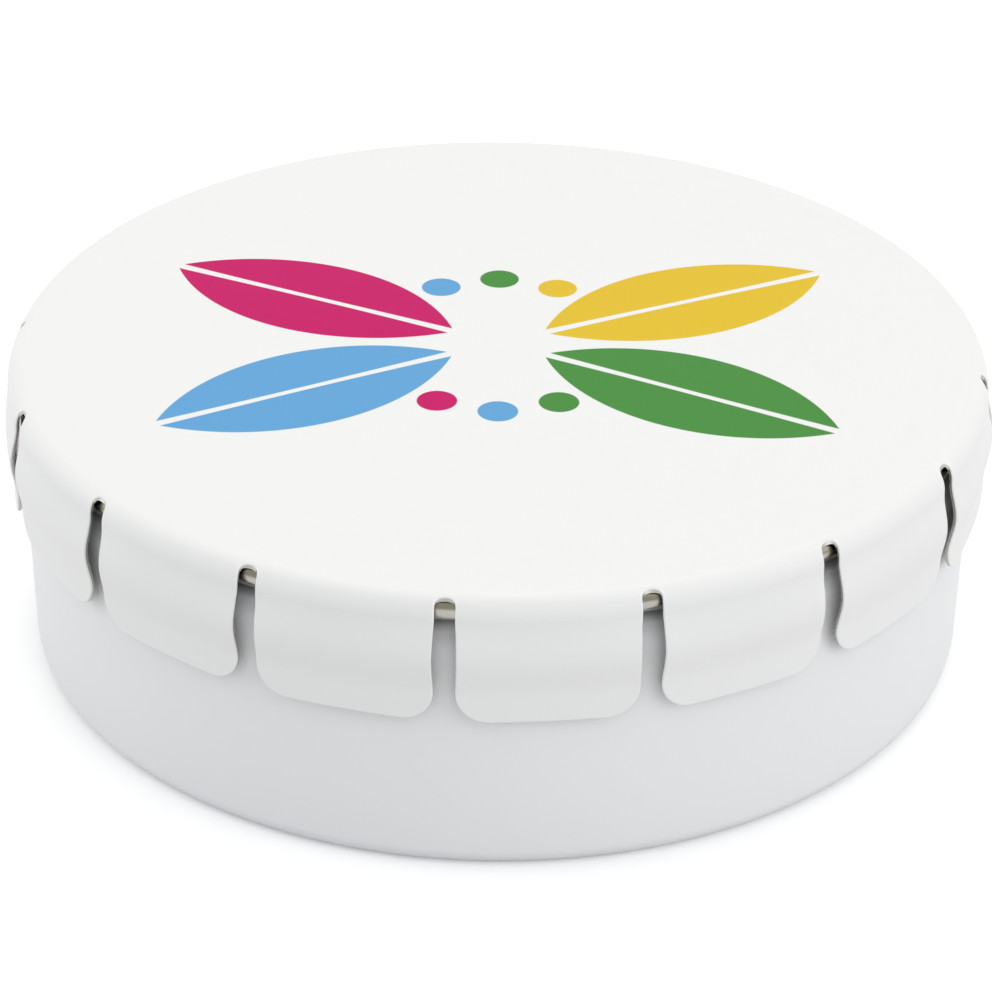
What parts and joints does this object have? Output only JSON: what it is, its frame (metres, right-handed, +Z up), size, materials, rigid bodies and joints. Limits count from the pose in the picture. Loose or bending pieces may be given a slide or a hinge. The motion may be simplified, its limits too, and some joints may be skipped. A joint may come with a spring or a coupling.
{
  "type": "mint tin",
  "caption": "Round press-to-open tin for mints: a drawn metal base with a rolled rim, and a lid whose slotted skirt forms spring tabs that let go when its crowned middle is pressed in.",
  "frame": {"origin": "centre of the foot ring's lowest plane, on the tin's axis", "axes": "+Z up along the tin's axis, -Y towards the front as pictured, +X to the right"},
  "size_m": [0.0598, 0.0598, 0.0187],
  "materials": {
    "painted_base": "satin white enamel, bare on the rolled rim",
    "painted_lid": "satin white enamel",
    "printed_panel": "satin white enamel with a four-colour print",
    "mint_sweets": null
  },
  "bodies": {
    "base": {"tin_base": "painted_base", "mints_lower_layer": "mint_sweets", "mints_upper_layer": "mint_sweets"},
    "lid": {"lid_shoulder_ring": "painted_lid"},
    "lid_panel": {"lid_press_panel": "printed_panel"},
    "lid_tab_01": {"lid_tab_01": "painted_lid"},
    "lid_tab_02": {"lid_tab_02": "painted_lid"},
    "lid_tab_03": {"lid_tab_03": "painted_lid"},
    "lid_tab_04": {"lid_tab_04": "painted_lid"},
    "lid_tab_05": {"lid_tab_05": "painted_lid"},
    "lid_tab_06": {"lid_tab_06": "painted_lid"},
    "lid_tab_07": {"lid_tab_07": "painted_lid"},
    "lid_tab_08": {"lid_tab_08": "painted_lid"},
    "lid_tab_09": {"lid_tab_09": "painted_lid"},
    "lid_tab_10": {"lid_tab_10": "painted_lid"},
    "lid_tab_11": {"lid_tab_11": "painted_lid"},
    "lid_tab_12": {"lid_tab_12": "painted_lid"},
    "lid_tab_13": {"lid_tab_13": "painted_lid"},
    "lid_tab_14": {"lid_tab_14": "painted_lid"},
    "lid_tab_15": {"lid_tab_15": "painted_lid"},
    "lid_tab_16": {"lid_tab_16": "painted_lid"}
  },
  "joints": [
    {"name": "lid_lift", "type": "slide", "parent": "base", "child": "lid", "axis": [0, 0, 1], "range_m": [0, 0.03]},
    {"name": "panel_press", "type": "slide", "parent": "lid", "child": "lid_panel", "axis": [0, 0, -1], "range_m": [0, 0.0011]},
    {"name": "tab_swing_01", "type": "hinge", "parent": "lid", "child": "lid_tab_01", "pos_m": [0.00302, -0.02946, 0.017], "axis": [-0.9948, -0.1019, 0], "range_deg": [0, 4]},
    {"name": "tab_swing_02", "type": "hinge", "parent": "lid", "child": "lid_tab_02", "pos_m": [0.01406, -0.02606, 0.017], "axis": [-0.8801, -0.4749, 0], "range_deg": [0, 4]},
    {"name": "tab_swing_03", "type": "hinge", "parent": "lid", "child": "lid_tab_03", "pos_m": [0.02296, -0.01869, 0.017], "axis": [-0.6314, -0.7755, 0], "range_deg": [0, 4]},
    {"name": "tab_swing_04", "type": "hinge", "parent": "lid", "child": "lid_tab_04", "pos_m": [0.02837, -0.00848, 0.017], "axis": [-0.2865, -0.9581, 0], "range_deg": [0, 4]},
    {"name": "tab_swing_05", "type": "hinge", "parent": "lid", "child": "lid_tab_05", "pos_m": [0.02946, 0.00302, 0.017], "axis": [0.1019, -0.9948, 0], "range_deg": [0, 4]},
    {"name": "tab_swing_06", "type": "hinge", "parent": "lid", "child": "lid_tab_06", "pos_m": [0.02606, 0.01406, 0.017], "axis": [0.4749, -0.8801, 0], "range_deg": [0, 4]},
    {"name": "tab_swing_07", "type": "hinge", "parent": "lid", "child": "lid_tab_07", "pos_m": [0.01869, 0.02296, 0.017], "axis": [0.7755, -0.6314, 0], "range_deg": [0, 4]},
    {"name": "tab_swing_08", "type": "hinge", "parent": "lid", "child": "lid_tab_08", "pos_m": [0.00848, 0.02837, 0.017], "axis": [0.9581, -0.2865, 0], "range_deg": [0, 4]},
    {"name": "tab_swing_09", "type": "hinge", "parent": "lid", "child": "lid_tab_09", "pos_m": [-0.00302, 0.02946, 0.017], "axis": [0.9948, 0.1019, 0], "range_deg": [0, 4]},
    {"name": "tab_swing_10", "type": "hinge", "parent": "lid", "child": "lid_tab_10", "pos_m": [-0.01406, 0.02606, 0.017], "axis": [0.8801, 0.4749, 0], "range_deg": [0, 4]},
    {"name": "tab_swing_11", "type": "hinge", "parent": "lid", "child": "lid_tab_11", "pos_m": [-0.02296, 0.01869, 0.017], "axis": [0.6314, 0.7755, 0], "range_deg": [0, 4]},
    {"name": "tab_swing_12", "type": "hinge", "parent": "lid", "child": "lid_tab_12", "pos_m": [-0.02837, 0.00848, 0.017], "axis": [0.2865, 0.9581, 0], "range_deg": [0, 4]},
    {"name": "tab_swing_13", "type": "hinge", "parent": "lid", "child": "lid_tab_13", "pos_m": [-0.02946, -0.00302, 0.017], "axis": [-0.1019, 0.9948, 0], "range_deg": [0, 4]},
    {"name": "tab_swing_14", "type": "hinge", "parent": "lid", "child": "lid_tab_14", "pos_m": [-0.02606, -0.01406, 0.017], "axis": [-0.4749, 0.8801, 0], "range_deg": [0, 4]},
    {"name": "tab_swing_15", "type": "hinge", "parent": "lid", "child": "lid_tab_15", "pos_m": [-0.01869, -0.02296, 0.017], "axis": [-0.7755, 0.6314, 0], "range_deg": [0, 4]},
    {"name": "tab_swing_16", "type": "hinge", "parent": "lid", "child": "lid_tab_16", "pos_m": [-0.00848, -0.02837, 0.017], "axis": [-0.9581, 0.2865, 0], "range_deg": [0, 4]}
  ],
  "couplings": [
    {"joint": "tab_swing_01", "follows": "panel_press", "rad_per_m": 63.466},
    {"joint": "tab_swing_02", "follows": "panel_press", "rad_per_m": 63.466},
    {"joint": "tab_swing_03", "follows": "panel_press", "rad_per_m": 63.466},
    {"joint": "tab_swing_04", "follows": "panel_press", "rad_per_m": 63.466},
    {"joint": "tab_swing_05", "follows": "panel_press", "rad_per_m": 63.466},
    {"joint": "tab_swing_06", "follows": "panel_press", "rad_per_m": 63.466},
    {"joint": "tab_swing_07", "follows": "panel_press", "rad_per_m": 63.466},
    {"joint": "tab_swing_08", "follows": "panel_press", "rad_per_m": 63.466},
    {"joint": "tab_swing_09", "follows": "panel_press", "rad_per_m": 63.466},
    {"joint": "tab_swing_10", "follows": "panel_press", "rad_per_m": 63.466},
    {"joint": "tab_swing_11", "follows": "panel_press", "rad_per_m": 63.466},
    {"joint": "tab_swing_12", "follows": "panel_press", "rad_per_m": 63.466},
    {"joint": "tab_swing_13", "follows": "panel_press", "rad_per_m": 63.466},
    {"joint": "tab_swing_14", "follows": "panel_press", "rad_per_m": 63.466},
    {"joint": "tab_swing_15", "follows": "panel_press", "rad_per_m": 63.466},
    {"joint": "tab_swing_16", "follows": "panel_press", "rad_per_m": 63.466}
  ]
}
